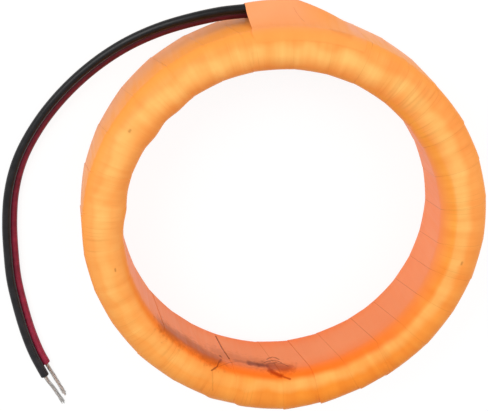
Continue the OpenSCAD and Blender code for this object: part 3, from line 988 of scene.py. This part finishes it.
def lead_route(start_az, cut_back, side):
    """Points of one lead beside the pair's middle: outwards and up for side 1, inwards and down for -1."""
    under_az = np.linspace(start_az, EXIT_AZ, 3)
    under = [(PAIR_R * math.cos(a), PAIR_R * math.sin(a), EXIT_HEIGHT) for a in under_az]
    free = np.array(FREE_ROUTE) * MM
    run = free[-1] - free[-2]
    free[-1] -= run / np.linalg.norm(run) * cut_back
    p = np.vstack([under, free])
    ahead = np.vstack([p[1:], p[-1:]]) - np.vstack([p[:1], p[:-1]])
    heading = ahead[:, :2] / np.linalg.norm(ahead[:, :2], axis=1)[:, None]
    beside = np.column_stack([heading[:, 1], -heading[:, 0], np.ones(len(p))])
    return p + side * PAIR_OFFSET * beside + np.array([0, 0, FLOOR_Z])


def frames_along(path):
    """Across and up directions at each point of a path."""
    run = np.vstack([path[1:], path[-1:]]) - np.vstack([path[:1], path[:-1]])
    run /= np.linalg.norm(run, axis=1)[:, None]
    across = np.cross(run, [0, 0, 1])
    across /= np.linalg.norm(across, axis=1)[:, None]
    return across, np.cross(across, run)


def tube(path, radii, sides):
    """Vertices and faces of a tube along a path, closed at both ends."""
    across, up = frames_along(path)
    angle = (np.arange(sides) * 2 * math.pi / sides)[None, :, None]
    spokes = across[:, None, :] * np.cos(angle) + up[:, None, :] * np.sin(angle)
    vertices = (path[:, None, :] + np.asarray(radii)[:, None, None] * spokes).reshape(-1, 3)
    faces = []
    for i in range(len(path) - 1):
        for k in range(sides):
            n = (k + 1) % sides
            faces.append((i * sides + k, i * sides + n, (i + 1) * sides + n, (i + 1) * sides + k))
    faces.append(tuple(range(sides - 1, -1, -1)))
    faces.append(tuple((len(path) - 1) * sides + k for k in range(sides)))
    return vertices, faces


def lead(name, route, material, slot, node):
    """One insulated lead, with its cut end slightly drawn in round the strands."""
    path = smooth_route(route, LEAD_STEPS)
    end = path[-1] - path[-2]
    end /= np.linalg.norm(end)
    end_radii = [LEAD_D / 2 * share for _, share in CUT_END]
    radii = np.concatenate([np.full(len(path) - 1, LEAD_D / 2), end_radii])
    skin = np.vstack([path[:-1]] + [path[-1] + end * reach * MM for reach, _ in CUT_END])
    vertices, faces = tube(skin, radii, LEAD_SIDES)
    piece = add_mesh(name, vertices, faces, material, slot, node)
    return piece


def strand_bundle(name, lead_points, tail, material, node, seed):
    """Twisted tinned strands beyond a lead's cut, each a wire of its own, a little loose at the tip."""
    rng = np.random.default_rng(seed)
    tail_points = np.array(tail) * MM + np.array([0, 0, FLOOR_Z])
    tip = lead_points[-1]
    ahead = (tip - lead_points[-2]) / np.linalg.norm(tip - lead_points[-2])
    route = np.vstack([tip - ahead * STRAND_LEAD_IN, tip + ahead * STRAND_LEAD_IN, tail_points])
    path = smooth_route(route, STRAND_STEPS)
    across, up = frames_along(path)
    reach = np.concatenate([[0], np.cumsum(np.linalg.norm(np.diff(path, axis=0), axis=1))])
    share = reach / reach[-1]
    vertices, faces = [], []
    for number, ring in STRAND_LAYERS:
        for k in range(number):
            turn = 2 * math.pi * (k / number + reach / TWIST_PITCH) + rng.uniform(-LOOSE_TURN, LOOSE_TURN)
            loose = 1 + rng.uniform(*LOOSE_SPREAD) * share ** 3
            spread = ring * (STRAND_BUNDLE_D - STRAND_D) / 2 * loose
            line = path + spread[:, None] * (np.cos(turn)[:, None] * across + np.sin(turn)[:, None] * up)
            line[:, 2] = np.maximum(line[:, 2], FLOOR_Z + STRAND_D / 2)
            keep = len(line) - int(rng.integers(0, SHORT_BY))
            points, loops = tube(line[:keep], np.full(keep, STRAND_D / 2), STRAND_SIDES)
            faces += [tuple(i + len(vertices) for i in loop) for loop in loops]
            vertices += list(points)
    return add_mesh(name, vertices, faces, material, "tinned_strands", node)


# Scene

def show_nodes():
    """Materials of the CAD nodes that stay as they are."""
    looks = {
        "core": core_material(),
        "core_wrap": paper_material(),
        "secondary_winding": metal_material("enamelled_wire", (0.62, 0.24, 0.09), rough=0.25, scale=260),
        "solder_joints": metal_material("solder_metal", (0.62, 0.62, 0.63), rough=0.3, scale=900),
        "splice_sleeves": insulation_material("shrink_sleeve", (0.02, 0.02, 0.021), rough=0.45),
    }
    for name, material in looks.items():
        mesh = frame["nodes"][name].data
        mesh.materials.clear()
        mesh.materials.append(material)


def make_floor():
    """A plain white floor that shows white and keeps a soft shadow."""
    bpy.ops.mesh.primitive_plane_add(size=FLOOR_SIZE, location=(0, 0, FLOOR_Z - FLOOR_GAP))
    floor = bpy.context.object
    floor.name = "floor"
    tree = Tree("white_floor")
    tree.nodes.remove(tree.shader)
    rays = tree.nodes.new("ShaderNodeLightPath").outputs
    seen = tree.plus(rays["Is Camera Ray"], rays["Is Glossy Ray"])
    seen = tree.math("ADD", seen, rays["Is Transmission Ray"], clamp=True)
    diffuse = tree.nodes.new("ShaderNodeBsdfDiffuse")
    tree.put(diffuse.inputs["Color"], tree.mix(seen, FLOOR_LIT, FLOOR_SEEN))
    glow = tree.nodes.new("ShaderNodeEmission")
    tree.put(glow.inputs["Strength"], tree.times(seen, FLOOR_GLOW))
    both = tree.nodes.new("ShaderNodeAddShader")
    tree.links.new(diffuse.outputs[0], both.inputs[0])
    tree.links.new(glow.outputs[0], both.inputs[1])
    tree.links.new(both.outputs[0], tree.nodes["Material Output"].inputs["Surface"])
    floor.data.materials.append(tree.material)


def make_light():
    for name, (place, size, power) in LAMPS.items():
        lamp = bpy.data.objects.new(name, bpy.data.lights.new(name, "AREA"))
        lamp.data.size = size
        lamp.data.energy = power
        lamp.location = place
        lamp.rotation_euler = (-Vector(place)).to_track_quat("-Z", "Y").to_euler()
        bpy.context.scene.collection.objects.link(lamp)
    world = bpy.data.worlds.new("studio")
    world.use_nodes = True
    world.node_tree.nodes["Background"].inputs["Color"].default_value = (1, 1, 1, 1)
    world.node_tree.nodes["Background"].inputs["Strength"].default_value = WORLD_STRENGTH
    bpy.context.scene.world = world
    bpy.context.scene.view_settings.view_transform = "Standard"


def make_camera():
    data = bpy.data.cameras.new("photo_camera")
    data.sensor_width = SENSOR_W
    data.sensor_fit = "HORIZONTAL"
    data.lens = SENSOR_W * FOCAL_PX / IMAGE_W
    camera = bpy.data.objects.new("photo_camera", data)
    towards = CAMERA_TOWARDS.normalized()
    right = CAMERA_UP.cross(towards).normalized()
    up = towards.cross(right)
    turn = Matrix((right, up, towards)).transposed().to_4x4()
    camera.matrix_world = Matrix.Translation(CAMERA_TARGET + CAMERA_DISTANCE * towards) @ turn
    bpy.context.scene.collection.objects.link(camera)
    bpy.context.scene.camera = camera


make_camera()
make_light()
make_floor()
show_nodes()

black_route = lead_route(BLACK_START_AZ, 0, 1)
red_route = lead_route(RED_START_AZ, RED_CUT_BACK, -1)
tinned = metal_material("tinned_copper", (0.78, 0.77, 0.75), rough=0.18, scale=1200)
black_strands = strand_bundle(
    "black_strands", black_route, BLACK_STRAND_ROUTE, tinned, "black_lead_end", SEED + 2
)
red_strands = strand_bundle("red_strands", red_route, RED_STRAND_ROUTE, tinned, "red_lead_end", SEED + 3)
black_pvc = insulation_material("black_pvc", (0.0135, 0.0125, 0.014), rough=0.34)
red_pvc = insulation_material("red_pvc", (0.22, 0.013, 0.035), rough=0.36)
lead("black_cord", black_route, black_pvc, "black_insulation", "black_lead")
lead("red_cord", red_route, red_pvc, "red_insulation", "red_lead")

tape_wrap()
lead_cover()
